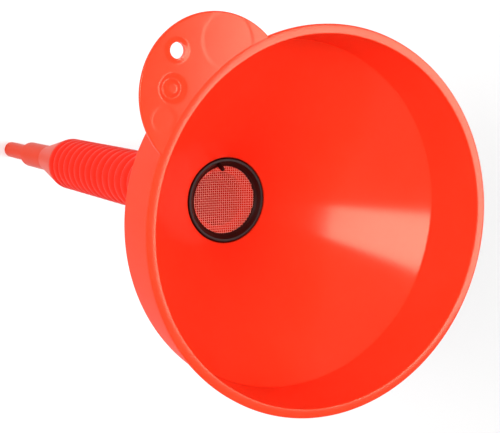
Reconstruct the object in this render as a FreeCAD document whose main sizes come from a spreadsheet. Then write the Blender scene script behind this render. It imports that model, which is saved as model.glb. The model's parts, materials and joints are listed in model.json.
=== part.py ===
import FreeCAD, Part
import math
import os
import re
import Sketcher
from FreeCAD import Placement, Rotation, Vector

# A funnel for fuel and fluids: a rigid bowl with a thumb tab, a strainer that lifts out of the bowl's
# outlet, and a flexible ribbed spout that is pushed over the outlet neck and ends in a stepped nozzle.
#
# Frame: millimetres. The origin is the centre of the spout's tip, +Z runs up the spout's axis and out
# of the mouth, and +X points to the thumb tab. Depths below are measured down from the mouth's rim.

doc = FreeCAD.newDocument("Funnel")

# ---------------------------------------------------------------- driving dimensions

DIMENSIONS = [
    # bowl
    ("rim_height", 415.0, "tip of the spout to the top of the rim"),
    ("mouth_radius", 80.0, "outside of the rim flange"),
    ("rim_bore", 76.1, "inside of the wall at the rim"),
    ("rim_thickness", 2.6, "rim flange"),
    ("wall", 1.8, "bowl wall"),
    ("crease_depth", 30.0, "where the upright wall meets the cone, inside"),
    ("crease_radius", 74.4, "inside of the wall at that crease"),
    ("cone_angle", 47.4, "degrees, cone above the horizontal"),
    ("cone_drop", 2.66, "cone wall measured straight down"),
    ("seat_radius", 20.2, "pocket for the strainer"),
    ("seat_depth", 4.5, "depth of that pocket"),
    ("seat_skirt", 22.0, "outside of the pocket"),
    ("ledge_radius", 16.6, "inner edge of the pocket's floor"),
    ("outlet_bore", 12.8, "bore of the outlet neck"),
    ("outlet_drop", 3.6, "height of the small cone between floor and neck"),
    ("neck_radius", 14.2, "outside of the outlet neck"),
    ("neck_depth", 110.5, "rim to the end of the neck"),
    # thumb tab
    ("tab_centre", 72.9, "axis to the centre of the tab's circle"),
    ("tab_radius", 31.6, "tab's circle"),
    ("tab_thickness", 1.6, "tab"),
    ("hang_hole_place", 96.4, "axis to the hang hole"),
    ("hang_hole_radius", 3.0, "hang hole"),
    ("collar_radius", 4.4, "raised collar round the hang hole"),
    ("collar_height", 0.4, "raised collar round the hang hole"),
    ("button_along", 87.7, "round button, along X"),
    ("button_across", 11.1, "round button, along Y"),
    ("button_radius", 2.7, "round button"),
    ("moat_radius", 4.8, "moat round the button"),
    ("moat_depth", 0.8, "moat round the button"),
    ("edge_round", 0.5, "rounding of the rim's and the tab's edges"),
    ("shoulder_round", 2.5, "rounding of the bowl's outer shoulder"),
    # strainer
    ("ring_radius", 19.9, "outside of the strainer ring"),
    ("ring_top_radius", 19.4, "outer edge of the ring's top face"),
    ("ring_land", 18.3, "inner edge of the ring's top face"),
    ("ring_lip", 15.9, "inner edge of the ring"),
    ("ring_wall", 16.9, "foot of the ring's inner bevel"),
    ("ring_bevel", 1.5, "top face down to the foot of that bevel"),
    ("ring_lip_depth", 2.0, "top face down to the lip"),
    ("ring_underlip", 0.4, "lip below the gauze"),
    ("gauze_depth", 2.5, "ring's top face down to the gauze"),
    ("gauze_radius", 17.0, "edge of the gauze in the ring's groove"),
    ("gauze_thickness", 0.4, "gauze"),
    ("gauze_dish_radius", 15.2, "where the dish of the gauze begins"),
    ("gauze_dish", 1.6, "depth of that dish"),
    ("peg_radius", 1.1, "peg that lifts the strainer"),
    ("peg_length", 4.7, "peg that lifts the strainer"),
    ("peg_round", 0.88, "rounding of the peg's end"),
    ("peg_place", 17.2, "axis to the foot of the peg"),
    ("peg_lean", 32.0, "degrees, the peg leans inwards"),
    ("peg_turn", -33.0, "degrees, the peg's place round the ring from the tab"),
    # flexible spout
    ("rib_pitch", 8.7, "rib to rib"),
    ("first_rib_depth", 117.7, "rim to the first rib"),
    ("rib_radius", 15.5, "crest of a rib"),
    ("valley_radius", 13.1, "outside of the hose between ribs"),
    ("hose_bore", 12.0, "bore of the hose between ribs"),
    ("crest_round", 2.4, "outer half circle of a rib"),
    ("crest_hollow", 1.3, "inner half circle of a rib"),
    ("hinge_gap", 1.2, "clear space each side of a bending place"),
    ("cuff_depth", 99.4, "rim to the top of the cuff"),
    ("cuff_radius", 15.9, "cuff"),
    ("cuff_bead_radius", 16.6, "bead at the top of the cuff"),
    ("cuff_bead_height", 2.4, "bead at the top of the cuff"),
    ("cuff_bead_slope", 1.0, "slope below that bead"),
    ("cuff_foot", 1.6, "slope at the foot of the cuff"),
    ("cuff_bore", 14.3, "cuff over the neck"),
    ("cuff_step_depth", 110.9, "rim to the step inside the cuff"),
    # nozzle
    ("cone_top", 122.0, "tip to the upper edge of the end cone"),
    ("cone_foot", 81.0, "tip to the lower edge of the end cone"),
    ("cone_land", 1.0, "straight band above the end cone"),
    ("nozzle_wall", 1.2, "wall of the end cone and tubes"),
    ("large_tube_radius", 8.05, "large tube"),
    ("small_tube_radius", 5.25, "small tube"),
    ("small_tube_length", 44.0, "small tube"),
    ("tube_step", 0.4, "slope of the step between the two tubes"),
]
RIB_COUNT = 20
TOUCH = 0.01  # places closer together than this count as the same place

sheet = doc.addObject("Spreadsheet::Sheet", "Sizes")
for row, (alias, value, note) in enumerate(DIMENSIONS, start=1):
    sheet.set(f"A{row}", alias)
    sheet.set(f"B{row}", str(value))
    sheet.set(f"C{row}", note)
    sheet.setAlias(f"B{row}", alias)
doc.recompute()

SIZE_WORDS = {alias for alias, value, note in DIMENSIONS}


def bound(text):
    """Turns the aliases in an expression into references to the sheet."""
    return re.sub(r"[a-z_]+", lambda word: "Sizes." + word[0] if word[0] in SIZE_WORDS else word[0], text)


def amount(text):
    """Returns an expression's present value as a plain number."""
    return float(sheet.evalExpression(bound(text)))


# ---------------------------------------------------------------- sketches and features


def new_body(label):
    body = doc.addObject("PartDesign::Body", label)
    body.Label = label
    body.Placement = Placement()
    return body


def new_sketch(body, name, plane, lift=None):
    """Adds a sketch on one of the body's origin planes, raised off it by the expression in lift."""
    sketch = body.newObject("Sketcher::SketchObject", name)
    support = [feature for feature in body.Origin.OriginFeatures if feature.Role == plane]
    sketch.AttachmentSupport = [(support[0], "")]
    sketch.MapMode = "FlatFace"
    if lift:
        sketch.setExpression("AttachmentOffset.Base.z", bound(lift))
    doc.recompute()
    return sketch


def fix_point(sketch, edge, end, along, up):
    """Holds one end of an edge at a place given by two expressions."""
    for kind, text, axis in (("DistanceX", along, -2), ("DistanceY", up, -1)):
        value = amount(text)
        if abs(value) < TOUCH:
            sketch.addConstraint(Sketcher.Constraint("PointOnObject", edge, end, axis))
            continue
        index = sketch.addConstraint(Sketcher.Constraint(kind, -1, 1, edge, end, value))
        sketch.setExpression(f"Constraints[{index}]", bound(text))


def arc_edge(start, stop, radius, side):
    """Returns an arc from start to stop that bulges to the given side, and whether it runs that way."""
    chord = stop - start
    middle = (start + stop) * 0.5
    left = Vector(-chord.y, chord.x, 0).normalize()
    reach = math.sqrt(max(radius ** 2 - (chord.Length / 2) ** 2, 0.0))
    centre = middle - left * reach * side
    first = math.atan2(start.y - centre.y, start.x - centre.x)
    last = math.atan2(stop.y - centre.y, stop.x - centre.x)
    circle = Part.Circle(centre, Vector(0, 0, 1), radius)
    if side < 0:
        return Part.ArcOfCircle(circle, first, last), True
    return Part.ArcOfCircle(circle, last, first), False


def draw_outline(sketch, outline):
    """Draws a closed outline. Each corner is (along, up) in expressions, and may add a radius and a
    side, +1 for left or -1 for right, where the edge that leaves it is an arc."""
    places = [Vector(amount(corner[0]), amount(corner[1]), 0) for corner in outline]
    ends = []
    for number, corner in enumerate(outline):
        start = places[number]
        stop = places[(number + 1) % len(outline)]
        forward = True
        if len(corner) == 4:
            shape, forward = arc_edge(start, stop, amount(corner[2]), corner[3])
        else:
            shape = Part.LineSegment(start, stop)
        edge = sketch.addGeometry(shape, False)
        ends.append((edge, 1, 2) if forward else (edge, 2, 1))
    for number, (edge, first, last) in enumerate(ends):
        following, its_first, its_last = ends[(number + 1) % len(ends)]
        sketch.addConstraint(Sketcher.Constraint("Coincident", edge, last, following, its_first))
        fix_point(sketch, edge, first, outline[number][0], outline[number][1])
        if len(outline[number]) == 4:
            radius = amount(outline[number][2])
            index = sketch.addConstraint(Sketcher.Constraint("Radius", edge, radius))
            sketch.setExpression(f"Constraints[{index}]", bound(outline[number][2]))


def draw_circle(sketch, along, up, radius):
    """Draws a circle whose centre and radius are expressions."""
    circle = Part.Circle(Vector(amount(along), amount(up), 0), Vector(0, 0, 1), amount(radius))
    edge = sketch.addGeometry(circle, False)
    fix_point(sketch, edge, 3, along, up)
    index = sketch.addConstraint(Sketcher.Constraint("Radius", edge, amount(radius)))
    sketch.setExpression(f"Constraints[{index}]", bound(radius))


def turned(body, kind, name, outline):
    """Revolves or grooves an outline of (radius, height) corners round the Z axis."""
    sketch = new_sketch(body, name + "Sketch", "XZ_Plane")
    draw_outline(sketch, outline)
    before = body.Shape.Volume if body.Tip else 0.0
    feature = body.newObject("PartDesign::" + kind, name)
    feature.Profile = sketch
    feature.ReferenceAxis = (sketch, ["V_Axis"])
    feature.Angle = 360.0
    doc.recompute()
    grown = feature.Shape.Volume > before
    if grown != (kind == "Revolution"):
        raise RuntimeError(f"{name} did not change its body as it should")
    return feature


def extruded(body, kind, name, sketch, length, upwards=False):
    """Pads or pockets a horizontal sketch by an expression, downwards unless told otherwise."""
    before = body.Shape.Volume if body.Tip else 0.0
    feature = body.newObject("PartDesign::" + kind, name)
    feature.Profile = sketch
    feature.setExpression("Length", bound(length))
    feature.Reversed = (kind == "Pad") != upwards
    doc.recompute()
    grown = feature.Shape.Volume > before
    if grown != (kind == "Pad"):
        raise RuntimeError(f"{name} did not change its body as it should")
    return feature


def rounded(body, name, radius, chosen):
    """Fillets the body's edges for which chosen(edge) is true."""
    base = body.Tip
    edges = [f"Edge{n}" for n, edge in enumerate(base.Shape.Edges, start=1) if chosen(edge)]
    if not edges:
        raise RuntimeError(f"{name} found no edge")
    fillet = body.newObject("PartDesign::Fillet", name)
    fillet.Base = (base, edges)
    fillet.setExpression("Radius", bound(radius))
    doc.recompute()
    return fillet


def ring_at(edge, radius, height):
    """Says whether an edge is a circle about the Z axis with this radius and height."""
    curve = edge.Curve
    if not isinstance(curve, Part.Circle):
        return False
    centred = math.hypot(curve.Center.x, curve.Center.y) < TOUCH
    return centred and abs(curve.Radius - radius) < TOUCH and abs(curve.Center.z - height) < TOUCH


# ---------------------------------------------------------------- bowl

CONE_DEPTH = "crease_depth + (crease_radius - seat_radius) * tan(cone_angle)"
SKIRT_DEPTH = "crease_depth + (crease_radius - seat_skirt) * tan(cone_angle) + cone_drop"
SHOULDER_DEPTH = "crease_depth - wall * tan(cone_angle) + cone_drop"
SEAT_FLOOR = f"({CONE_DEPTH} + seat_depth)"


def below_rim(depth):
    return f"rim_height - ({depth})"


def make_bowl():
    body = new_body("bowl")
    turned(body, "Revolution", "BowlOutside", [
        ("0", "rim_height"),
        ("mouth_radius", "rim_height"),
        ("mouth_radius", below_rim("rim_thickness")),
        ("rim_bore + wall", below_rim("rim_thickness")),
        ("crease_radius + wall", below_rim(SHOULDER_DEPTH)),
        ("seat_skirt", below_rim(SKIRT_DEPTH)),
        ("seat_skirt", below_rim(SEAT_FLOOR + " + wall")),
        ("neck_radius", below_rim(SEAT_FLOOR + " + wall + outlet_drop")),
        ("neck_radius", below_rim("neck_depth")),
        ("0", below_rim("neck_depth")),
    ])
    tab = new_sketch(body, "TabSketch", "XY_Plane", "rim_height")
    draw_circle(tab, "tab_centre", "0", "tab_radius")
    extruded(body, "Pad", "Tab", tab, "tab_thickness")
    turned(body, "Groove", "BowlInside", [
        ("0", "rim_height"),
        ("rim_bore", "rim_height"),
        ("crease_radius", below_rim("crease_depth")),
        ("seat_radius", below_rim(CONE_DEPTH)),
        ("seat_radius", below_rim(SEAT_FLOOR)),
        ("ledge_radius", below_rim(SEAT_FLOOR)),
        ("outlet_bore", below_rim(SEAT_FLOOR + " + outlet_drop")),
        ("outlet_bore", below_rim("neck_depth")),
        ("0", below_rim("neck_depth")),
    ])
    levels = [amount("rim_height"), amount(below_rim("rim_thickness"))]
    shoulder = amount(below_rim(SHOULDER_DEPTH))
    rounded(body, "OuterShoulder", "shoulder_round",
            lambda edge: ring_at(edge, amount("crease_radius + wall"), shoulder))
    clear_of_wall = amount("(rim_bore + wall + mouth_radius) / 2")

    def on_rim_or_tab(edge):
        heights = [vertex.Point.z for vertex in edge.Vertexes]
        flat = any(all(abs(height - level) < TOUCH for height in heights) for level in levels)
        middle = edge.valueAt((edge.FirstParameter + edge.LastParameter) / 2)
        return flat and math.hypot(middle.x, middle.y) > clear_of_wall

    rounded(body, "RimEdges", "edge_round", on_rim_or_tab)
    collar = new_sketch(body, "CollarSketch", "XY_Plane", "rim_height")
    draw_circle(collar, "hang_hole_place", "0", "collar_radius")
    extruded(body, "Pad", "HangHoleCollar", collar, "collar_height", upwards=True)
    hole = new_sketch(body, "HangHoleSketch", "XY_Plane", "rim_height + collar_height")
    draw_circle(hole, "hang_hole_place", "0", "hang_hole_radius")
    extruded(body, "Pocket", "HangHole", hole, "tab_thickness + 2 * collar_height")
    moat = new_sketch(body, "MoatSketch", "XY_Plane", "rim_height")
    draw_circle(moat, "button_along", "button_across", "button_radius")
    draw_circle(moat, "button_along", "button_across", "moat_radius")
    extruded(body, "Pocket", "ButtonMoat", moat, "moat_depth")
    return body


# ---------------------------------------------------------------- strainer


def make_strainer_frame():
    ring_top = below_rim(CONE_DEPTH)
    groove_top = f"{ring_top} - gauze_depth"
    body = new_body("strainer_frame")
    turned(body, "Revolution", "Ring", [
        ("ring_radius", below_rim(SEAT_FLOOR)),
        ("ring_radius", f"{ring_top} - (ring_radius - ring_top_radius)"),
        ("ring_top_radius", ring_top),
        ("ring_land", ring_top),
        ("ring_wall", f"{ring_top} - ring_bevel"),
        ("ring_lip", f"{ring_top} - ring_lip_depth"),
        ("ring_lip", groove_top),
        ("gauze_radius", groove_top),
        ("gauze_radius", f"{groove_top} - gauze_thickness"),
        ("ring_lip", f"{groove_top} - gauze_thickness"),
        ("ring_lip", f"{groove_top} - gauze_thickness - ring_underlip"),
        ("ring_wall", below_rim(SEAT_FLOOR)),
    ])
    peg = new_sketch(body, "PegSketch", "XY_Plane")
    turn = Rotation(Vector(0, 0, 1), amount("peg_turn"))
    lean = Rotation(Vector(0, 1, 0), -amount("peg_lean"))
    foot = turn.multVec(Vector(amount("peg_place"), 0, amount(f"{ring_top} - ring_bevel")))
    peg.AttachmentOffset = Placement(foot, turn.multiply(lean))
    draw_circle(peg, "0", "0", "peg_radius")
    extruded(body, "Pad", "Peg", peg, "peg_length", upwards=True)
    peg_tip = foot + turn.multiply(lean).multVec(Vector(0, 0, amount("peg_length")))
    rounded(body, "PegEnd", "peg_round", lambda edge: (edge.CenterOfMass - peg_tip).Length < TOUCH)
    return body


def make_strainer_gauze():
    upper = f"{below_rim(CONE_DEPTH)} - gauze_depth"
    lower = f"{upper} - gauze_thickness"
    dish = "((gauze_dish_radius ^ 2 + gauze_dish ^ 2) / (2 * gauze_dish))"
    body = new_body("strainer_gauze")
    turned(body, "Revolution", "Gauze", [
        ("0", f"{lower} - gauze_dish", dish, -1),
        ("gauze_dish_radius", lower),
        ("gauze_radius", lower),
        ("gauze_radius", upper),
        ("gauze_dish_radius", upper, dish, 1),
        ("0", f"{upper} - gauze_dish"),
    ])
    return body


# ---------------------------------------------------------------- flexible spout


def make_cuff():
    hinge = below_rim("first_rib_depth - rib_pitch / 2")
    body = new_body("spout_cuff")
    turned(body, "Revolution", "Cuff", [
        ("cuff_bore", below_rim("cuff_depth")),
        ("cuff_bead_radius", below_rim("cuff_depth")),
        ("cuff_bead_radius", below_rim("cuff_depth + cuff_bead_height")),
        ("cuff_radius", below_rim("cuff_depth + cuff_bead_height + cuff_bead_slope")),
        ("cuff_radius", f"{hinge} + hinge_gap + cuff_foot"),
        ("valley_radius", f"{hinge} + hinge_gap"),
        ("hose_bore", f"{hinge} + hinge_gap"),
        ("hose_bore", below_rim("cuff_step_depth")),
        ("cuff_bore", below_rim("cuff_step_depth")),
    ])
    return body


def make_rib(number):
    """Makes one rib of the hose: a hollow crest between two short feet."""
    body = new_body(f"spout_rib_{number:02d}")
    turned(body, "Revolution", f"Rib{number:02d}", [
        ("hose_bore", "-rib_pitch / 2 + hinge_gap"),
        ("valley_radius", "-rib_pitch / 2 + hinge_gap"),
        ("valley_radius", "-crest_round", "crest_round", -1),
        ("rib_radius", "0", "crest_round", -1),
        ("valley_radius", "crest_round"),
        ("valley_radius", "rib_pitch / 2 - hinge_gap"),
        ("hose_bore", "rib_pitch / 2 - hinge_gap"),
        ("hose_bore", "crest_hollow"),
        ("valley_radius", "crest_hollow", "crest_hollow", 1),
        ("valley_radius + crest_hollow", "0", "crest_hollow", 1),
        ("valley_radius", "-crest_hollow"),
        ("hose_bore", "-crest_hollow"),
    ])
    body.setExpression("Placement.Base.z", bound(below_rim(f"first_rib_depth + {number - 1} * rib_pitch")))
    doc.recompute()
    return body


def make_nozzle():
    last_hinge = below_rim(f"first_rib_depth + {RIB_COUNT - 1} * rib_pitch + rib_pitch / 2")
    rim = f"{last_hinge} - hinge_gap"
    body = new_body("spout_nozzle")
    turned(body, "Revolution", "Nozzle", [
        ("hose_bore", rim),
        ("valley_radius", rim),
        ("valley_radius", "cone_top + cone_land + crest_round", "crest_round", 1),
        ("rib_radius", "cone_top + cone_land"),
        ("rib_radius", "cone_top"),
        ("large_tube_radius", "cone_foot"),
        ("large_tube_radius", "small_tube_length"),
        ("small_tube_radius", "small_tube_length - tube_step"),
        ("small_tube_radius", "0"),
        ("small_tube_radius - nozzle_wall", "0"),
        ("small_tube_radius - nozzle_wall", "small_tube_length + nozzle_wall"),
        ("large_tube_radius - nozzle_wall", "small_tube_length + nozzle_wall + tube_step"),
        ("large_tube_radius - nozzle_wall", "cone_foot"),
        ("rib_radius - nozzle_wall", "cone_top"),
        ("rib_radius - nozzle_wall", "cone_top + cone_land"),
        ("hose_bore", "cone_top + cone_land + crest_round"),
    ])
    return body


# ---------------------------------------------------------------- build, check and write

bodies = [make_bowl(), make_strainer_frame(), make_strainer_gauze(), make_cuff()]
for rib in range(1, RIB_COUNT + 1):
    bodies.append(make_rib(rib))
bodies.append(make_nozzle())
doc.recompute()

for item in doc.Objects:
    if "Invalid" in item.State or "Error" in item.State:
        raise RuntimeError(f"{item.Label} failed to recompute")
os.makedirs("parts", exist_ok=True)
for body in bodies:
    if body.Shape.isNull() or not body.Shape.isValid() or len(body.Shape.Solids) != 1:
        raise RuntimeError(f"{body.Label} is not one valid solid")
    body.Shape.exportStep(f"parts/{body.Label}.step")
    box = body.Shape.BoundBox
    print(f"{body.Label}: {body.Shape.Volume / 1000:.2f} cm3, z {box.ZMin:.2f} to {box.ZMax:.2f}")
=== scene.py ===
import json
import math

import bmesh
import bpy
from bpy.props import FloatProperty, FloatVectorProperty, PointerProperty, StringProperty
from mathutils import Matrix, Vector


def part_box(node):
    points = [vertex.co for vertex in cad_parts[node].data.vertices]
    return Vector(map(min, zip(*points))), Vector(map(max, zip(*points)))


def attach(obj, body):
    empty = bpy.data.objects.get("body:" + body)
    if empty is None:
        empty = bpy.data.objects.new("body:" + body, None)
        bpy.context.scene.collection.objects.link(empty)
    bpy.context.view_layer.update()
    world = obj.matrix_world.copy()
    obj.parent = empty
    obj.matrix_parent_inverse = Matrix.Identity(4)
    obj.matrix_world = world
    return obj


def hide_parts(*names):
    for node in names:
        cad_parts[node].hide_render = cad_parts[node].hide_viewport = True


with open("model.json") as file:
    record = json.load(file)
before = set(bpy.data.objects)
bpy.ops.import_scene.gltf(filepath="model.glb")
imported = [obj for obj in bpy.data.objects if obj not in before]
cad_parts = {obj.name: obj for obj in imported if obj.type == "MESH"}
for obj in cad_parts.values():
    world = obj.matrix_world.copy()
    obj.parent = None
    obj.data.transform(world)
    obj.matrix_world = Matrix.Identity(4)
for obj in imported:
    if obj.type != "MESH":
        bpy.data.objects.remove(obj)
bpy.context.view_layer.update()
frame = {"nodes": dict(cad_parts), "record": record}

bl_info = {
    "name": "Flexible-spout funnel",
    "version": (1, 0, 0),
    "blender": (4, 5, 0),
    "location": "3D View > Sidebar > Funnel",
    "description": "Builds a funnel with a thumb tab, a lift-out strainer and a ribbed spout round its frame",
    "category": "Add Mesh",
}

MM = 0.001
SOFT = 0.8 * MM  # half the width over which the tab's shallow marks rise or fall
VALLEY_ROUND = 0.12  # softness of the hose's valleys, as a share of half a fold
CREST_BLUNTNESS = 2.2  # how broad the hose's crests are
TILTED = 0.3  # a face counts as looking a way when its normal has at least this share of it
RIM_TOP = next(mount["pos_m"][2] for mount in frame["record"]["mounts"]
               if mount["name"] == "mouth_rim")
RIBS = sorted(node for node in frame["nodes"] if node.startswith("spout_rib_"))


def middle_height(node):
    """Returns the height of the middle of a CAD node's box."""
    low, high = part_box(node)
    return (low.z + high.z) / 2


RIB_HEIGHTS = [middle_height(rib) for rib in RIBS]
RIB_PITCH = RIB_HEIGHTS[0] - RIB_HEIGHTS[1]
GAUZE_LOW, GAUZE_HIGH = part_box("strainer_gauze")
CUFF_LOW, CUFF_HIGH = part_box("spout_cuff")
SEAT_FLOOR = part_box("strainer_frame")[0].z
NECK_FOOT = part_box("bowl")[0].z
SPOUT_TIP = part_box("spout_nozzle")[0].z


def length(name, default, description):
    """A length in metres, whose default is given in millimetres."""
    return FloatProperty(name=name, description=description, default=default * MM, unit="LENGTH",
                         subtype="DISTANCE", precision=5)


# ---------------------------------------------------------------- sizes and colours


class FunnelBowlSizes(bpy.types.PropertyGroup):
    mouth_radius: length("Mouth radius", 80.0, "Outside of the rim flange")
    rim_bore: length("Rim bore", 76.1, "Inside radius at the rim")
    rim_thickness: length("Rim thickness", 2.6, "Rim flange")
    wall: length("Wall", 1.8, "Thickness of the bowl's wall")
    crease_depth: length("Crease depth", 30.0, "Rim down to the crease between wall and cone")
    crease_radius: length("Crease radius", 74.4, "Inside radius at that crease")
    seat_radius: length("Seat radius", 20.2, "Pocket that the strainer sits in")
    seat_skirt: length("Seat skirt", 22.0, "Outside of that pocket")
    ledge_radius: length("Ledge radius", 16.6, "Inner edge of the pocket's floor")
    outlet_bore: length("Outlet bore", 12.8, "Bore of the outlet neck")
    outlet_drop: length("Outlet drop", 3.6, "Height of the small cone above the neck")
    neck_radius: length("Neck radius", 14.2, "Outside of the outlet neck")
    cone_angle: FloatProperty(name="Cone angle", description="Cone above the horizontal",
                              default=math.radians(47.4), subtype="ANGLE")


class FunnelTabSizes(bpy.types.PropertyGroup):
    centre: length("Centre", 72.9, "Axis to the centre of the tab's circle")
    thickness: length("Thickness", 1.6, "Tab")
    radius: length("Radius", 31.6, "The tab's circle")
    hole_place: length("Hole place", 96.4, "Axis to the hang hole")
    hole_radius: length("Hole radius", 3.1, "Hang hole")
    collar_radius: length("Collar radius", 4.4, "Raised collar round the hang hole")
    collar_height: length("Collar height", 0.3, "Raised collar round the hang hole")
    button_along: length("Button along", 87.7, "Round button, along X")
    button_across: length("Button across", 11.1, "Round button, along Y")
    button_radius: length("Button radius", 2.7, "Round button")
    moat_radius: length("Moat radius", 4.8, "Moat round the button")
    moat_depth: length("Moat depth", 0.7, "Moat round the button")
    pad_along: length("Pad along", 84.6, "Large shallow round pad, along X")
    pad_across: length("Pad across", -17.8, "Large shallow round pad, along Y")
    pad_radius: length("Pad radius", 10.6, "Large shallow round pad")
    insert_along: length("Insert along", 82.0, "Small mould insert, along X")
    insert_across: length("Insert across", 21.8, "Small mould insert, along Y")
    insert_radius: length("Insert radius", 4.8, "Small mould insert")
    witness: length("Witness depth", 0.035, "How deep the pad and the insert lie")
    edge_round: length("Edge rounding", 0.5, "Rounding of the tab's edge")
    root_depth: length("Root depth", 1.2, "How far the tab reaches into the rim flange")
    sink: length("Sink", 0.03, "How far the tab's top lies below the flange's")


class FunnelStrainerSizes(bpy.types.PropertyGroup):
    ring_radius: length("Ring radius", 19.9, "Outside of the ring")
    ring_top_radius: length("Top radius", 19.4, "Outer edge of the ring's top face")
    ring_land: length("Land", 18.3, "Inner edge of the ring's top face")
    ring_wall: length("Inner wall", 16.9, "Foot of the ring's inner bevel")
    ring_lip: length("Lip", 15.9, "Inner edge of the ring")
    peg_radius: length("Peg radius", 1.1, "Peg that lifts the strainer")
    peg_length: length("Peg length", 4.7, "Peg that lifts the strainer")
    peg_place: length("Peg place", 17.2, "Axis to the foot of the peg")
    peg_turn: FloatProperty(name="Peg turn", description="The peg's place round the ring from the tab",
                            default=math.radians(-33.0), subtype="ANGLE")
    bevel_share: FloatProperty(name="Bevel share", default=0.6,
                               description="Foot of the ring's bevel, from its top towards the gauze")
    lip_drop: length("Lip drop", 0.8, "Gauze's top down to the lip's lower edge")
    lip_share: FloatProperty(name="Lip share", default=0.8,
                             description="Top of the ring's lip, from its top towards the gauze")
    peg_lean: FloatProperty(name="Peg lean", description="How far the peg leans inwards",
                            default=math.radians(32.0), subtype="ANGLE")
    # the real wires stand under 1 mm apart; 1.1 mm is as fine as the weave can be drawn and still show
    wire_spacing: length("Wire spacing", 1.1, "Wire to wire in the gauze")
    wire_radius: length("Wire radius", 0.15, "Wires of the gauze")
    wire_setback: length("Wire setback", 0.2, "Gauze's edge to the ends of the wires")
    dish_radius: length("Dish radius", 15.2, "Where the gauze begins to dip")
    dish_depth: length("Dish depth", 1.6, "How far the gauze dips")
    weave_turn: FloatProperty(name="Weave turn", description="How far the weave is turned round the axis",
                              default=math.radians(45.0), subtype="ANGLE")


class FunnelSpoutSizes(bpy.types.PropertyGroup):
    crest_radius: length("Crest radius", 15.5, "Outside of the hose at a rib")
    valley_radius: length("Valley radius", 13.1, "Aim of the crests' flanks; rounding stops short of it")
    skin: length("Skin", 1.1, "Thickness of the hose")
    band_reach: length("Band reach", 3.0, "How far the band inside each valley reaches below its hinge")
    collar_share: FloatProperty(name="Collar share", description="Where in a fold the hose leaves the cuff",
                                default=0.12)
    cuff_foot: length("Cuff foot", 2.0, "Cuff's lower edge to the hose")
    shoulder_land: length("Shoulder land", 1.0, "Straight part above the end cone")
    cuff_radius: length("Cuff radius", 15.9, "Outside of the cuff")
    cuff_bead: length("Cuff bead", 16.6, "Bead at the top of the cuff")
    cuff_bore: length("Cuff bore", 14.3, "Bore of the cuff")
    bead_height: length("Bead height", 2.4, "Upright part of the cuff's bead")
    bead_slope: length("Bead slope", 1.0, "Height over which the bead runs into the cuff")
    bore_bevel: length("Bore bevel", 1.0, "Height over which the cuff's foot narrows to its bore")
    cone_top: length("Cone top", 122.0, "Tip to the upper edge of the end cone")
    cone_foot: length("Cone foot", 81.0, "Tip to the lower edge of the end cone")
    large_tube: length("Large tube", 8.05, "Radius of the large tube")
    small_tube: length("Small tube", 5.25, "Radius of the small tube")
    small_length: length("Small tube length", 44.0, "Length of the small tube")
    tube_step: length("Tube step", 0.4, "Height over which the large tube runs into the small one")
    nozzle_wall: length("Nozzle wall", 1.2, "Thickness of the nozzle")


class FunnelColours(bpy.types.PropertyGroup):
    bowl: StringProperty(name="Bowl", description="Bowl and thumb tab, sRGB hex", default="#F63B1E")
    spout: StringProperty(name="Spout", description="Flexible spout, sRGB hex", default="#F4291A")
    nozzle: StringProperty(name="Nozzle", description="Stepped tubes and their cone, sRGB hex",
                           default="#DC3A1C")
    ring: StringProperty(name="Strainer ring", description="Strainer ring, sRGB hex", default="#2C1210")
    # the wire's pink is a painted reflection of the red plastic round the gauze
    wire: StringProperty(name="Gauze wire", description="Gauze wire, sRGB hex", default="#FFA494")
    floor: StringProperty(name="Floor", description="Floor, sRGB hex", default="#FAFAFA")


class FunnelCamera(bpy.types.PropertyGroup):
    azimuth: FloatProperty(name="Azimuth", description="Round the axis from the tab, seen from above",
                           default=math.radians(30.99), subtype="ANGLE")
    elevation: FloatProperty(name="Elevation", description="Above the rim's plane",
                             default=math.radians(56.55), subtype="ANGLE")
    roll: FloatProperty(name="Roll", description="Turn about the line of sight",
                        default=math.radians(104.18), subtype="ANGLE")
    distance: length("Distance", 484.65, "Camera to the middle of the rim")
    aim: FloatVectorProperty(name="Aim", description="Point in the rim's plane that the camera looks at",
                             size=2, default=(29.19 * MM, 22.20 * MM), subtype="TRANSLATION")
    lens: FloatProperty(name="Lens", description="Focal length in millimetres", default=86.4)


# ---------------------------------------------------------------- mesh helpers


def rounded_outline(corners, steps=5, support=0.7 * MM):
    """Turns closed (radius, height, rounding) corners into points, with an arc at each rounded corner
    and a supporting point a little way along each straight run, which keeps the flats looking flat."""
    points = []
    count = len(corners)
    for number, (radius, height, rounding) in enumerate(corners):
        corner = Vector((radius, height))
        back = Vector(corners[number - 1][:2]) - corner
        ahead = Vector(corners[(number + 1) % count][:2]) - corner
        if not rounding:
            points.append(corner)
            continue
        half = back.angle(ahead) / 2
        reach = min(rounding / math.tan(half), 0.45 * back.length, 0.45 * ahead.length)
        radius_used = reach * math.tan(half)
        bisector = (back.normalized() + ahead.normalized()).normalized()
        centre = corner + bisector * (radius_used / math.sin(half))
        first = corner + back.normalized() * reach - centre
        last = corner + ahead.normalized() * reach - centre
        if back.length > 4 * (reach + support):
            points.append(corner + back.normalized() * (reach + support))
        for step in range(steps + 1):
            spoke = first.lerp(last, step / steps)
            points.append(centre + spoke.normalized() * radius_used)
        if ahead.length > 4 * (reach + support):
            points.append(corner + ahead.normalized() * (reach + support))
    return points


def turned_mesh(name, outline, steps=192):
    """Revolves a closed outline of (radius, height) points round the Z axis."""
    work = bmesh.new()
    rings = []
    for step in range(steps):
        turn = 2 * math.pi * step / steps
        rings.append([work.verts.new((p[0] * math.cos(turn), p[0] * math.sin(turn), p[1])) for p in outline])
    for step in range(steps):
        here, there = rings[step], rings[(step + 1) % steps]
        for number in range(len(outline)):
            after = (number + 1) % len(outline)
            work.faces.new((here[number], there[number], there[after], here[after]))
    bmesh.ops.recalc_face_normals(work, faces=work.faces)
    return finished_mesh(name, work)


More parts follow.
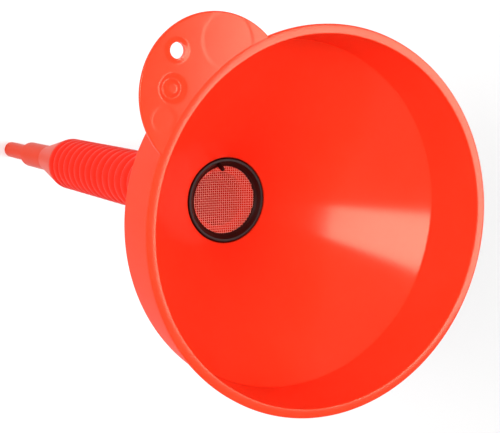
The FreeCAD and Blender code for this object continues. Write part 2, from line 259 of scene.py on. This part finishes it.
def finished_mesh(name, work):
    """Writes a bmesh to a new smooth-shaded object."""
    mesh = bpy.data.meshes.new(name)
    work.to_mesh(mesh)
    work.free()
    mesh.polygons.foreach_set("use_smooth", [True] * len(mesh.polygons))
    piece = bpy.data.objects.new(name, mesh)
    bpy.context.scene.collection.objects.link(piece)
    return piece


def sharpen(piece, degrees):
    """Marks the edges between faces that meet at more than this angle as sharp."""
    piece.data.set_sharp_from_angle(angle=math.radians(degrees))


def settle(piece, materials, body, node):
    """Gives a piece its materials and body, and hides the CAD node that it stands for."""
    for material in materials:
        piece.data.materials.append(material)
    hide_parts(node)
    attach(piece, body)


def finish_by_side(piece, inner_radius, outer_radius):
    """Gives the second material to the faces that look away from the axis or down, and the third one to
    the flange's top, which lies between the two radii."""
    for face in piece.data.polygons:
        outwards = Vector((face.center.x, face.center.y, 0)).normalized()
        if face.normal.z > TILTED and inner_radius < face.center.xy.length < outer_radius:
            face.material_index = 2
        elif face.normal.dot(outwards) > TILTED or face.normal.z < -TILTED:
            face.material_index = 1


def smooth_step(value, low, high):
    """Returns 0 below low, 1 above high, and an even rise between them."""
    share = min(max((value - low) / (high - low), 0.0), 1.0)
    return share * share * (3 - 2 * share)


# ---------------------------------------------------------------- materials


def linear(hex_colour):
    """Turns an sRGB hex colour into linear red, green, blue and 1."""
    parts = [int(hex_colour[place:place + 2], 16) / 255 for place in (1, 3, 5)]
    return [p / 12.92 if p <= 0.04045 else ((p + 0.055) / 1.055) ** 2.4 for p in parts] + [1.0]


def add_node(material, kind, settings=None, **inputs):
    """Adds a node. Each input is a value, or another node's socket to link from."""
    tree = material.node_tree
    made = tree.nodes.new(kind)
    for key, value in (settings or {}).items():
        setattr(made, key, value)
    for key, value in inputs.items():
        socket = made.inputs[key.replace("_", " ")]
        if isinstance(value, bpy.types.NodeSocket):
            tree.links.new(value, socket)
        else:
            socket.default_value = value
    return made


def new_material(name):
    """Makes a material whose node tree is empty."""
    material = bpy.data.materials.new(name)
    material.use_nodes = True
    material.node_tree.nodes.clear()
    return material


def finish_material(material, shader):
    """Links the shader to the material's surface."""
    output = add_node(material, "ShaderNodeOutputMaterial")
    material.node_tree.links.new(shader.outputs["BSDF"], output.inputs["Surface"])
    return material


def moulded_polyethylene(name, hex_colour, roughness, gleam):
    """Injection-moulded polyethylene: waxy and a little translucent, so that light softens inside it.
    The polished core leaves a gleaming inside and the spark-eroded cavity a duller outside, which is what
    gleam sets, and the melt leaves faint cloudy flow marks. Marks on a real eroded skin are typically well
    under 0.1 mm; they are drawn 0.9 mm wide, so that they show."""
    material = new_material(name)
    place = add_node(material, "ShaderNodeTexCoord").outputs["Object"]
    flow = add_node(material, "ShaderNodeTexNoise", Vector=place, Scale=1 / (26 * MM), Detail=3.0,
                    Roughness=0.5)
    base = linear(hex_colour)
    pale = [min(1.0, part * 1.05 + 0.004) for part in base[:3]] + [1.0]
    deep = [part * 0.94 for part in base[:3]] + [1.0]
    colour = add_node(material, "ShaderNodeMix", {"data_type": "RGBA"}, Factor=flow.outputs["Fac"])
    colour.inputs[6].default_value = deep
    colour.inputs[7].default_value = pale
    cloud = add_node(material, "ShaderNodeMapRange", Value=flow.outputs["Fac"], To_Min=roughness - 0.02,
                     To_Max=roughness + 0.03)
    skin = add_node(material, "ShaderNodeTexNoise", Vector=place, Scale=1 / (0.9 * MM), Detail=2.0)
    relief = add_node(material, "ShaderNodeBump", Height=skin.outputs["Fac"], Strength=0.06,
                      Distance=0.1 * MM)
    shader = add_node(
        material, "ShaderNodeBsdfPrincipled", Base_Color=colour.outputs[2], Roughness=cloud.outputs["Result"],
        Normal=relief.outputs["Normal"], IOR=1.51, Specular_IOR_Level=gleam,
        Specular_Tint=(1.0, 0.92, 0.68, 1.0), Subsurface_Weight=0.3, Subsurface_Radius=(1.0, 0.25, 0.1),
        Subsurface_Scale=2.0 * MM)
    return finish_material(material, shader)


def moulded_nylon(name, hex_colour):
    """Moulded black-brown nylon: an opaque, harder plastic with a satin, faintly grained skin. Real
    grain is typically well under 0.1 mm; it is drawn 0.5 mm wide, so that it shows."""
    material = new_material(name)
    place = add_node(material, "ShaderNodeTexCoord").outputs["Object"]
    grain = add_node(material, "ShaderNodeTexNoise", Vector=place, Scale=1 / (0.5 * MM), Detail=2.0)
    gloss = add_node(material, "ShaderNodeMapRange", Value=grain.outputs["Fac"], To_Min=0.28, To_Max=0.42)
    relief = add_node(material, "ShaderNodeBump", Height=grain.outputs["Fac"], Strength=0.12,
                      Distance=0.1 * MM)
    shader = add_node(material, "ShaderNodeBsdfPrincipled", Base_Color=linear(hex_colour),
                      Roughness=gloss.outputs["Result"], Normal=relief.outputs["Normal"], IOR=1.53,
                      Specular_IOR_Level=0.1)
    return finish_material(material, shader)


def drawn_steel_wire(name, hex_colour):
    """Drawn stainless wire: bright metal with fine draw lines that dull its shine unevenly. Its base colour
    is pink, a painted reflection of the red plastic round it. Real draw lines are typically well under 0.1 mm
    apart; they are drawn as patches of 0.4 mm, so that they show."""
    material = new_material(name)
    place = add_node(material, "ShaderNodeTexCoord").outputs["Object"]
    draw = add_node(material, "ShaderNodeTexNoise", Vector=place, Scale=1 / (0.4 * MM), Detail=2.0)
    gloss = add_node(material, "ShaderNodeMapRange", Value=draw.outputs["Fac"], To_Min=0.35, To_Max=0.52)
    # the steel's base colour is painted pink, a painted reflection of the red plastic round it
    shader = add_node(material, "ShaderNodeBsdfPrincipled", Base_Color=linear(hex_colour), Metallic=1.0,
                      Roughness=gloss.outputs["Result"])
    return finish_material(material, shader)


def painted_floor(name, hex_colour):
    """Matt painted board: even and pale, with the faintest mottle of a roller."""
    material = new_material(name)
    place = add_node(material, "ShaderNodeTexCoord").outputs["Object"]
    mottle = add_node(material, "ShaderNodeTexNoise", Vector=place, Scale=1 / (250 * MM), Detail=2.0)
    dull = add_node(material, "ShaderNodeMapRange", Value=mottle.outputs["Fac"], To_Min=0.85, To_Max=0.95)
    shader = add_node(material, "ShaderNodeBsdfPrincipled", Base_Color=linear(hex_colour),
                      Roughness=dull.outputs["Result"])
    return finish_material(material, shader)


def material_once(name, maker, *details):
    """Returns the named material, and makes it the first time."""
    return bpy.data.materials.get(name) or maker(name, *details)


def wall_plastics(scene):
    """Returns the plastic of the bowl's polished inside and that of its duller outside."""
    colour = scene.funnel_colours.bowl
    return (material_once("moulded_polyethylene_polished", moulded_polyethylene, colour, 0.15, 0.25),
            material_once("moulded_polyethylene_eroded", moulded_polyethylene, colour, 0.42, 0.035))


def tab_plastic(scene):
    """Returns the plastic of the tab and the flange, whose tops are moulded against one polished plate."""
    colour = scene.funnel_colours.bowl
    return material_once("moulded_polyethylene_tab", moulded_polyethylene, colour, 0.15, 0.21)


def spout_plastic(scene):
    """Returns the spout's soft plastic, whose blown ribs are dull."""
    colour = scene.funnel_colours.spout
    return material_once("blown_polyethylene_ribs", moulded_polyethylene, colour, 0.34, 0.015)


def nozzle_plastic(scene):
    """Returns the plastic of the stepped tubes and their cone: a slightly deeper red, matched, with a
    smoother skin."""
    colour = scene.funnel_colours.nozzle
    return material_once("blown_polyethylene_tubes", moulded_polyethylene, colour, 0.3, 0.02)


# ---------------------------------------------------------------- bowl


class FUNNEL_OT_bowl(bpy.types.Operator):
    """Turn the bowl: rim flange, upright wall, cone, strainer seat and outlet neck"""
    bl_idname = "funnel.bowl"
    bl_label = "Bowl"

    def execute(self, context):
        size = context.scene.funnel_bowl
        slope = math.tan(size.cone_angle)
        crease = RIM_TOP - size.crease_depth
        cone_foot = crease - (size.crease_radius - size.seat_radius) * slope
        crease_below = crease - size.wall / math.cos(size.cone_angle)
        skirt_top = crease_below - (size.crease_radius - size.seat_skirt) * slope
        flange_underside = RIM_TOP - size.rim_thickness
        corners = [
            (size.outlet_bore, NECK_FOOT, 0.3 * MM),
            (size.outlet_bore, SEAT_FLOOR - size.outlet_drop, 0.8 * MM),
            (size.ledge_radius, SEAT_FLOOR, 0.4 * MM),
            (size.seat_radius, SEAT_FLOOR, 0.3 * MM),
            (size.seat_radius, cone_foot, 0.25 * MM),
            (size.crease_radius, crease, 1.6 * MM),
            (size.rim_bore, RIM_TOP, 0.4 * MM),
            (size.mouth_radius, RIM_TOP, 0.5 * MM),
            (size.mouth_radius, flange_underside, 0.5 * MM),
            (size.rim_bore + size.wall, flange_underside, 0.5 * MM),
            (size.crease_radius + size.wall, crease_below + size.wall * slope, 2.5 * MM),
            (size.seat_skirt, skirt_top, 1.5 * MM),
            (size.seat_skirt, SEAT_FLOOR - size.wall, 0.8 * MM),
            (size.neck_radius, SEAT_FLOOR - size.wall - size.outlet_drop, 0.8 * MM),
            (size.neck_radius, NECK_FOOT, 0.3 * MM),
        ]
        bowl = turned_mesh("bowl_shell", rounded_outline(corners), steps=320)
        plastics = (*wall_plastics(context.scene), tab_plastic(context.scene))
        settle(bowl, plastics, "bowl", "bowl")
        finish_by_side(bowl, size.rim_bore - 0.05 * MM, size.mouth_radius - 0.5 * MM)
        return {"FINISHED"}


# ---------------------------------------------------------------- thumb tab


def tab_relief(size, x, y):
    """Returns how far the tab's top stands above the rim's plane at (x, y)."""
    from_hole = math.hypot(x - size.hole_place, y)
    from_button = math.hypot(x - size.button_along, y - size.button_across)
    from_pad = math.hypot(x - size.pad_along, y - size.pad_across)
    from_insert = math.hypot(x - size.insert_along, y - size.insert_across)
    collar = 1 - smooth_step(from_hole, size.hole_radius, size.collar_radius + SOFT)
    off_moat = abs(from_button - (size.button_radius + size.moat_radius) / 2)
    moat = 1 - smooth_step(off_moat, 0, size.moat_radius - size.button_radius)
    pad = 1 - smooth_step(from_pad, size.pad_radius - SOFT, size.pad_radius + SOFT)
    insert = 1 - smooth_step(from_insert, size.insert_radius - SOFT, size.insert_radius + SOFT)
    return size.collar_height * collar - size.moat_depth * moat - size.witness * (pad + insert)


class FUNNEL_OT_thumb_tab(bpy.types.Operator):
    """Build the thumb tab with its hang hole, collar, button and moat"""
    bl_idname = "funnel.thumb_tab"
    bl_label = "Thumb tab"

    def execute(self, context):
        size = context.scene.funnel_tab
        bowl = context.scene.funnel_bowl
        columns = 240
        rows = 72
        sweep = math.pi * 0.985  # the fan stops just short of a half circle, inside the flange
        inset = size.radius - size.edge_round
        root = bowl.mouth_radius - size.root_depth
        top = RIM_TOP - size.sink
        under = RIM_TOP - size.thickness
        work = bmesh.new()
        sheets = {"top": [], "under": []}
        for column in range(columns + 1):
            turn = sweep * (column / columns - 0.5)
            y = inset * math.sin(turn)
            near = math.sqrt(root ** 2 - y ** 2)
            far = size.centre + math.sqrt(inset ** 2 - y ** 2)
            top_column = []
            under_column = []
            for row in range(rows + 1):
                x = near + (far - near) * row / rows
                top_column.append(work.verts.new((x, y, top + tab_relief(size, x, y))))
                under_column.append(work.verts.new((x, y, under)))
            sheets["top"].append(top_column)
            sheets["under"].append(under_column)
        hole = Vector((size.hole_place, 0, 0))
        walls = {}
        for column in range(columns):
            for row in range(rows):
                ring = ((column, row), (column + 1, row), (column + 1, row + 1), (column, row + 1))
                corners = [sheets["top"][c][r] for c, r in ring]
                centre = sum((corner.co for corner in corners), Vector()) / 4
                if (centre - hole).xy.length < size.hole_radius:
                    for number, corner in enumerate(ring):
                        after = ring[(number + 1) % 4]
                        if (after, corner) in walls:
                            del walls[(after, corner)]
                        else:
                            walls[(corner, after)] = True
                    continue
                work.faces.new(corners)
                work.faces.new([sheets["under"][c][r] for c, r in reversed(ring)])
        for first, second in walls:
            for place in (first, second):
                for sheet in sheets.values():
                    vert = sheet[place[0]][place[1]]
                    spoke = (vert.co - hole).xy.normalized() * size.hole_radius
                    vert.co.x = hole.x + spoke.x
                    vert.co.y = hole.y + spoke.y
            work.faces.new([sheets[name][c][r] for name, (c, r) in
                            (("top", first), ("top", second), ("under", second), ("under", first))])
        self.add_edge(work, sheets, size, under)
        loose = [vert for vert in work.verts if not vert.link_faces]
        bmesh.ops.delete(work, geom=loose, context="VERTS")
        bmesh.ops.recalc_face_normals(work, faces=work.faces)
        tab = finished_mesh("thumb_tab", work)
        sharpen(tab, 50)
        settle(tab, [tab_plastic(context.scene)], "bowl", "bowl")
        return {"FINISHED"}

    def add_edge(self, work, sheets, size, under):
        """Closes the plate with a rounded outer edge and flat sides that lie inside the rim flange."""
        steps = 4
        strips = []
        for top_column, under_column in zip(sheets["top"], sheets["under"]):
            rim = top_column[-1].co
            spoke = Vector((rim.x - size.centre, rim.y, 0)).normalized()
            strip = [top_column[-1]]
            for level, sense in ((rim.z, -1), (under, 1)):
                turns = range(1, steps + 1) if sense < 0 else range(steps, 0, -1)
                for step in turns:
                    turn = math.pi / 2 * step / steps
                    out = spoke * size.edge_round * math.sin(turn)
                    drop = size.edge_round * (1 - math.cos(turn))
                    strip.append(work.verts.new((rim.x + out.x, rim.y + out.y, level + sense * drop)))
            strip.append(under_column[-1])
            strips.append(strip)
        for here, there in zip(strips, strips[1:]):
            for number in range(len(here) - 1):
                work.faces.new((here[number], there[number], there[number + 1], here[number + 1]))
        for column in range(len(sheets["top"]) - 1):
            work.faces.new((sheets["top"][column][0], sheets["top"][column + 1][0],
                            sheets["under"][column + 1][0], sheets["under"][column][0]))
        for side in (0, -1):
            work.faces.new(sheets["top"][side][:-1] + strips[side]
                           + list(reversed(sheets["under"][side][:-1])))


# ---------------------------------------------------------------- strainer


class FUNNEL_OT_strainer_ring(bpy.types.Operator):
    """Turn the strainer's dark ring and add the peg that lifts it"""
    bl_idname = "funnel.strainer_ring"
    bl_label = "Strainer ring"

    def execute(self, context):
        size = context.scene.funnel_strainer
        bowl = context.scene.funnel_bowl
        slope = math.tan(bowl.cone_angle)
        top = RIM_TOP - bowl.crease_depth - (bowl.crease_radius - bowl.seat_radius) * slope
        groove = GAUZE_HIGH.z
        bevel_foot = top - size.bevel_share * (top - groove)
        corners = [
            (size.ring_radius, SEAT_FLOOR, 0.2 * MM),
            (size.ring_radius, top - (size.ring_radius - size.ring_top_radius), 0.2 * MM),
            (size.ring_top_radius, top, 0.25 * MM),
            (size.ring_land, top, 0.3 * MM),
            (size.ring_wall, bevel_foot, 0.3 * MM),
            (size.ring_lip, top - size.lip_share * (top - groove), 0.2 * MM),
            (size.ring_lip, groove - size.lip_drop, 0.2 * MM),
            (size.ring_wall, SEAT_FLOOR, 0.2 * MM),
        ]
        ring = turned_mesh("strainer_ring", rounded_outline(corners, 4, 0.2 * MM), steps=160)
        plastic = material_once("moulded_nylon_strainer", moulded_nylon, context.scene.funnel_colours.ring)
        settle(ring, [plastic], "strainer", "strainer_frame")
        peg = self.lifting_peg(size, bevel_foot)
        settle(peg, [plastic], "strainer", "strainer_frame")
        return {"FINISHED"}

    def lifting_peg(self, size, foot_height):
        """Makes the peg: a slim leaning rod with a domed end."""
        work = bmesh.new()
        turn = Matrix.Rotation(size.peg_turn, 4, "Z")
        lean = Matrix.Rotation(-size.peg_lean, 4, "Y")
        place = turn @ Matrix.Translation((size.peg_place, 0, foot_height)) @ lean
        sides = 24
        shoulder = size.peg_length - size.peg_radius
        foot_radius = size.peg_radius * 1.15
        end_radius = size.peg_radius * 0.94
        levels = [(foot_radius, 0.0), (size.peg_radius, 0.7 * MM), (end_radius, shoulder)]
        dome_steps = 6
        for step in range(1, dome_steps):
            angle = math.pi / 2 * step / dome_steps
            levels.append((end_radius * math.cos(angle), shoulder + size.peg_radius * math.sin(angle)))
        spokes = [2 * math.pi * side / sides for side in range(sides)]
        rings = []
        for radius, height in levels:
            rings.append([work.verts.new(place @ Vector((radius * math.cos(spoke), radius * math.sin(spoke),
                                                         height))) for spoke in spokes])
        for lower, upper in zip(rings, rings[1:]):
            for side in range(sides):
                after = (side + 1) % sides
                work.faces.new((lower[side], lower[after], upper[after], upper[side]))
        work.faces.new(rings[-1])
        work.faces.new(list(reversed(rings[0])))
        return finished_mesh("strainer_peg", work)


class FUNNEL_OT_strainer_gauze(bpy.types.Operator):
    """Weave the strainer's dished gauze, wire over wire"""
    bl_idname = "funnel.strainer_gauze"
    bl_label = "Strainer gauze"

    def execute(self, context):
        size = context.scene.funnel_strainer
        reach = GAUZE_HIGH.x - size.wire_setback
        middle = (GAUZE_HIGH.z + GAUZE_LOW.z + size.dish_depth) / 2
        curve = bpy.data.curves.new("gauze_wires", "CURVE")
        curve.dimensions = "3D"
        curve.bevel_depth = size.wire_radius
        curve.bevel_resolution = 1
        curve.use_fill_caps = True
        lines = int(reach / size.wire_spacing)
        for family in range(2):
            for line in range(-lines, lines + 1):
                self.add_wire(curve, size, family, line, reach, middle)
        wires = bpy.data.objects.new("strainer_gauze_wires", curve)
        bpy.context.scene.collection.objects.link(wires)
        mesh = bpy.data.meshes.new_from_object(wires.evaluated_get(context.evaluated_depsgraph_get()))
        bpy.data.objects.remove(wires)
        gauze = bpy.data.objects.new("strainer_gauze_wires", mesh)
        bpy.context.scene.collection.objects.link(gauze)
        mesh.polygons.foreach_set("use_smooth", [True] * len(mesh.polygons))
        # the steel's pink base colour is a painted reflection of the red plastic round the gauze
        steel = material_once("drawn_steel_wire", drawn_steel_wire, context.scene.funnel_colours.wire)
        settle(gauze, [steel], "strainer", "strainer_gauze")
        return {"FINISHED"}

    def add_wire(self, curve, size, family, line, reach, middle):
        """Adds one wire that passes over and under the wires that cross it."""
        turn = Matrix.Rotation(size.weave_turn, 3, "Z")
        offset = line * size.wire_spacing
        half = math.sqrt(reach ** 2 - offset ** 2)
        crossings = int(half / size.wire_spacing)
        points = [-half]
        for half_step in range(-2 * crossings, 2 * crossings + 1):
            points.append(half_step * size.wire_spacing / 2)
        points.append(half)
        spline = curve.splines.new("POLY")
        spline.points.add(len(points) - 1)
        for point, along in zip(spline.points, points):
            x, y = (along, offset) if family == 0 else (offset, along)
            out = math.hypot(x, y)
            dip = size.dish_depth * (1 - min(out / size.dish_radius, 1.0) ** 2)
            wave = size.wire_radius * math.cos(math.pi * along / size.wire_spacing)
            over = 1 if (line + family) % 2 == 0 else -1
            place = turn @ Vector((x, y, middle - dip + wave * over))
            point.co = (*place, 1.0)


# ---------------------------------------------------------------- spout


def fold_radius(size, share):
    """Outside radius of the hose between one crest, at share 0, and the next, at share 1: a broad round
    crest that falls steeply into a narrow valley."""
    away = math.hypot(2 * share - 1, VALLEY_ROUND) / math.hypot(1, VALLEY_ROUND)
    rise = math.sqrt(1 - (1 - away) ** CREST_BLUNTNESS)
    return size.valley_radius + (size.crest_radius - size.valley_radius) * rise


def fold_points(size, shares, top, bottom):
    """Points of the hose's outside between two shares of a fold, at evenly spaced heights."""
    steps = 24
    return [(fold_radius(size, shares[0] + (shares[1] - shares[0]) * step / steps),
             top + (bottom - top) * step / steps) for step in range(steps + 1)]


def hinge_band(size, hinge_height):
    """Points below a hinge on a sphere round it. Turning about the hinge leaves a sphere where it is, so
    the band keeps the valley closed when the hose bends."""
    valley = fold_radius(size, 0.5)
    steps = 8
    drops = [size.band_reach * step / steps for step in range(1, steps + 1)]
    return [(math.sqrt(valley ** 2 - drop ** 2), hinge_height - drop) for drop in drops]


class FUNNEL_OT_spout_hose(bpy.types.Operator):
    """Build the ribbed hose: each rib rides on its own body and turns about the valleys beside it"""
    bl_idname = "funnel.spout_hose"
    bl_label = "Ribbed hose"

    def execute(self, context):
        size = context.scene.funnel_spout
        half = RIB_PITCH / 2
        for rib, middle in zip(RIBS, RIB_HEIGHTS):
            body = rib.removeprefix("spout_")
            outside = fold_points(size, (0.5, 1.0), middle + half, middle)
            outside += fold_points(size, (0.0, 0.5), middle, middle - half)[1:]
            outside += hinge_band(size, middle - half)
            self.add_piece(context, f"hose_{body}", outside, body, rib)
        first_hinge = RIB_HEIGHTS[0] + half
        collar = fold_points(size, (size.collar_share, 0.5), CUFF_LOW.z + size.cuff_foot, first_hinge)
        collar += hinge_band(size, first_hinge)
        self.add_piece(context, "hose_collar", collar, "cuff", "spout_cuff")
        last_hinge = RIB_HEIGHTS[-1] - half
        shoulder = fold_points(size, (0.5, 1.0), last_hinge, size.cone_top + size.shoulder_land)
        self.add_piece(context, "hose_shoulder", shoulder, "nozzle", "spout_nozzle")
        return {"FINISHED"}

    def add_piece(self, context, name, outside, body, node):
        """Turns one ring of the hose from its outside points, with a skin of even thickness."""
        skin = context.scene.funnel_spout.skin
        inside = [(radius - skin, height) for radius, height in reversed(outside)]
        piece = turned_mesh(name, outside + inside, steps=96)
        sharpen(piece, 60)
        settle(piece, [spout_plastic(context.scene)], body, node)


class FUNNEL_OT_spout_cuff(bpy.types.Operator):
    """Turn the cuff that grips the bowl's outlet neck"""
    bl_idname = "funnel.spout_cuff"
    bl_label = "Spout cuff"

    def execute(self, context):
        size = context.scene.funnel_spout
        top = CUFF_HIGH.z
        foot = CUFF_LOW.z + size.cuff_foot
        corners = [
            (size.cuff_bore, top, 0.2 * MM),
            (size.cuff_bead, top, 0.7 * MM),
            (size.cuff_bead, top - size.bead_height, 0.6 * MM),
            (size.cuff_radius, top - size.bead_height - size.bead_slope, 0.5 * MM),
            (size.cuff_radius, foot, 0.35 * MM),
            (size.crest_radius - size.skin, foot, 0.2 * MM),
            (size.cuff_bore, foot + size.bore_bevel, 0.2 * MM),
        ]
        cuff = turned_mesh("spout_cuff_shell", rounded_outline(corners, 5, 0.3 * MM), steps=128)
        settle(cuff, [spout_plastic(context.scene)], "cuff", "spout_cuff")
        return {"FINISHED"}


class FUNNEL_OT_spout_nozzle(bpy.types.Operator):
    """Turn the stepped nozzle: shoulder, end cone, large tube and small tube"""
    bl_idname = "funnel.spout_nozzle"
    bl_label = "Spout nozzle"

    def execute(self, context):
        size = context.scene.funnel_spout
        wall = size.nozzle_wall
        step = size.small_length
        shoulder = size.cone_top + size.shoulder_land
        corners = [
            (size.crest_radius - size.skin, shoulder, 0),
            (size.crest_radius, shoulder, 0),
            (size.crest_radius, size.cone_top, 0.5 * MM),
            (size.large_tube, size.cone_foot, 6.0 * MM),
            (size.large_tube, step, 0.4 * MM),
            (size.small_tube, step - size.tube_step, 0.5 * MM),
            (size.small_tube, 0, 0.3 * MM),
            (size.small_tube - wall, 0, 0.3 * MM),
            (size.small_tube - wall, step + wall, 0.3 * MM),
            (size.large_tube - wall, step + wall + size.tube_step, 0.3 * MM),
            (size.large_tube - wall, size.cone_foot, 4.0 * MM),
            (size.crest_radius - wall, size.cone_top, 0.5 * MM),
        ]
        nozzle = turned_mesh("spout_nozzle_shell", rounded_outline(corners, 6, 0.5 * MM), steps=128)
        sharpen(nozzle, 50)
        settle(nozzle, [nozzle_plastic(context.scene)], "nozzle", "spout_nozzle")
        return {"FINISHED"}


# ---------------------------------------------------------------- stage


class FUNNEL_OT_stage(bpy.types.Operator):
    """Lay a plain pale floor, set soft studio lights and place the camera"""
    bl_idname = "funnel.stage"
    bl_label = "Stage"

    def execute(self, context):
        scene = context.scene
        self.lay_floor(scene)
        self.light(scene)
        self.place_camera(scene)
        return {"FINISHED"}

    def lay_floor(self, scene):
        """Lays a wide floor under the spout's tip."""
        work = bmesh.new()
        bmesh.ops.create_grid(work, x_segments=1, y_segments=1, size=6.0)
        floor = finished_mesh("studio_floor", work)
        floor.location.z = SPOUT_TIP
        board = material_once("painted_floor", painted_floor, scene.funnel_colours.floor)
        floor.data.materials.append(board)

    def light(self, scene):
        """Fills the air with even white light and adds a key and a fill softbox. Each one's row gives its
        azimuth and elevation in degrees, its distance and width in metres, and its watts."""
        world = bpy.data.worlds.new("studio_air")
        world.use_nodes = True
        air = world.node_tree.nodes["Background"]
        air.inputs["Color"].default_value = (1.0, 1.0, 1.0, 1.0)
        air.inputs["Strength"].default_value = 0.36
        scene.world = world
        scene.view_settings.view_transform = "Standard"
        centre = Vector((0, 0, RIM_TOP))
        for name, azimuth, elevation, distance, width, watts in (
                ("key_softbox", 33.6, 40, 1.3, 0.648, 19),
                ("fill_softbox", 222, 53, 1.3, 0.56, 11)):
            lamp = bpy.data.lights.new(name, "AREA")
            lamp.shape = "SQUARE"
            lamp.size = width
            lamp.energy = watts
            holder = bpy.data.objects.new(name, lamp)
            scene.collection.objects.link(holder)
            away = direction(math.radians(azimuth), math.radians(elevation))
            holder.location = centre + away * distance
            holder.rotation_euler = (-away).to_track_quat("-Z", "Y").to_euler()

    def place_camera(self, scene):
        """Places the camera round the middle of the rim and makes it the scene's camera."""
        view = scene.funnel_camera
        centre = Vector((0, 0, RIM_TOP))
        lens = bpy.data.cameras.new("main_camera")
        lens.lens = view.lens
        lens.sensor_width = 36.0
        camera = bpy.data.objects.new("main_camera", lens)
        scene.collection.objects.link(camera)
        camera.location = centre + direction(view.azimuth, view.elevation) * view.distance
        aim = centre + Vector((view.aim[0], view.aim[1], 0))
        sight = (aim - camera.location).to_track_quat("-Z", "Y").to_matrix()
        camera.rotation_euler = (sight @ Matrix.Rotation(view.roll, 3, "Z")).to_euler()
        scene.camera = camera


def direction(azimuth, elevation):
    """Unit vector at an azimuth from +X and an elevation above the horizontal."""
    flat = math.cos(elevation)
    return Vector((flat * math.cos(azimuth), flat * math.sin(azimuth), math.sin(elevation)))


# ---------------------------------------------------------------- panel and registration


class FUNNEL_PT_panel(bpy.types.Panel):
    """Lists the funnel's pieces and sizes"""
    bl_idname = "FUNNEL_PT_panel"
    bl_label = "Funnel"
    bl_space_type = "VIEW_3D"
    bl_region_type = "UI"
    bl_category = "Funnel"

    def draw(self, context):
        column = self.layout.column()
        for maker in OPERATORS:
            column.operator(maker.bl_idname)
        for group in SETTINGS:
            settings = getattr(context.scene, group)
            for name in settings.bl_rna.properties.keys():
                if name not in ("rna_type", "name"):
                    column.prop(settings, name)


SETTINGS = {
    "funnel_bowl": FunnelBowlSizes,
    "funnel_tab": FunnelTabSizes,
    "funnel_strainer": FunnelStrainerSizes,
    "funnel_spout": FunnelSpoutSizes,
    "funnel_colours": FunnelColours,
    "funnel_camera": FunnelCamera,
}
OPERATORS = (
    FUNNEL_OT_stage,
    FUNNEL_OT_bowl,
    FUNNEL_OT_thumb_tab,
    FUNNEL_OT_strainer_ring,
    FUNNEL_OT_strainer_gauze,
    FUNNEL_OT_spout_cuff,
    FUNNEL_OT_spout_hose,
    FUNNEL_OT_spout_nozzle,
)


def register():
    for name, group in SETTINGS.items():
        bpy.utils.register_class(group)
        setattr(bpy.types.Scene, name, PointerProperty(type=group))
    for maker in OPERATORS:
        bpy.utils.register_class(maker)
    bpy.utils.register_class(FUNNEL_PT_panel)


def unregister():
    bpy.utils.unregister_class(FUNNEL_PT_panel)
    for maker in reversed(OPERATORS):
        bpy.utils.unregister_class(maker)
    for name, group in reversed(list(SETTINGS.items())):
        delattr(bpy.types.Scene, name)
        bpy.utils.unregister_class(group)


def main():
    register()
    for maker in OPERATORS:
        group, name = maker.bl_idname.split(".")
        getattr(getattr(bpy.ops, group), name)()


if __name__ == "__main__":
    main()
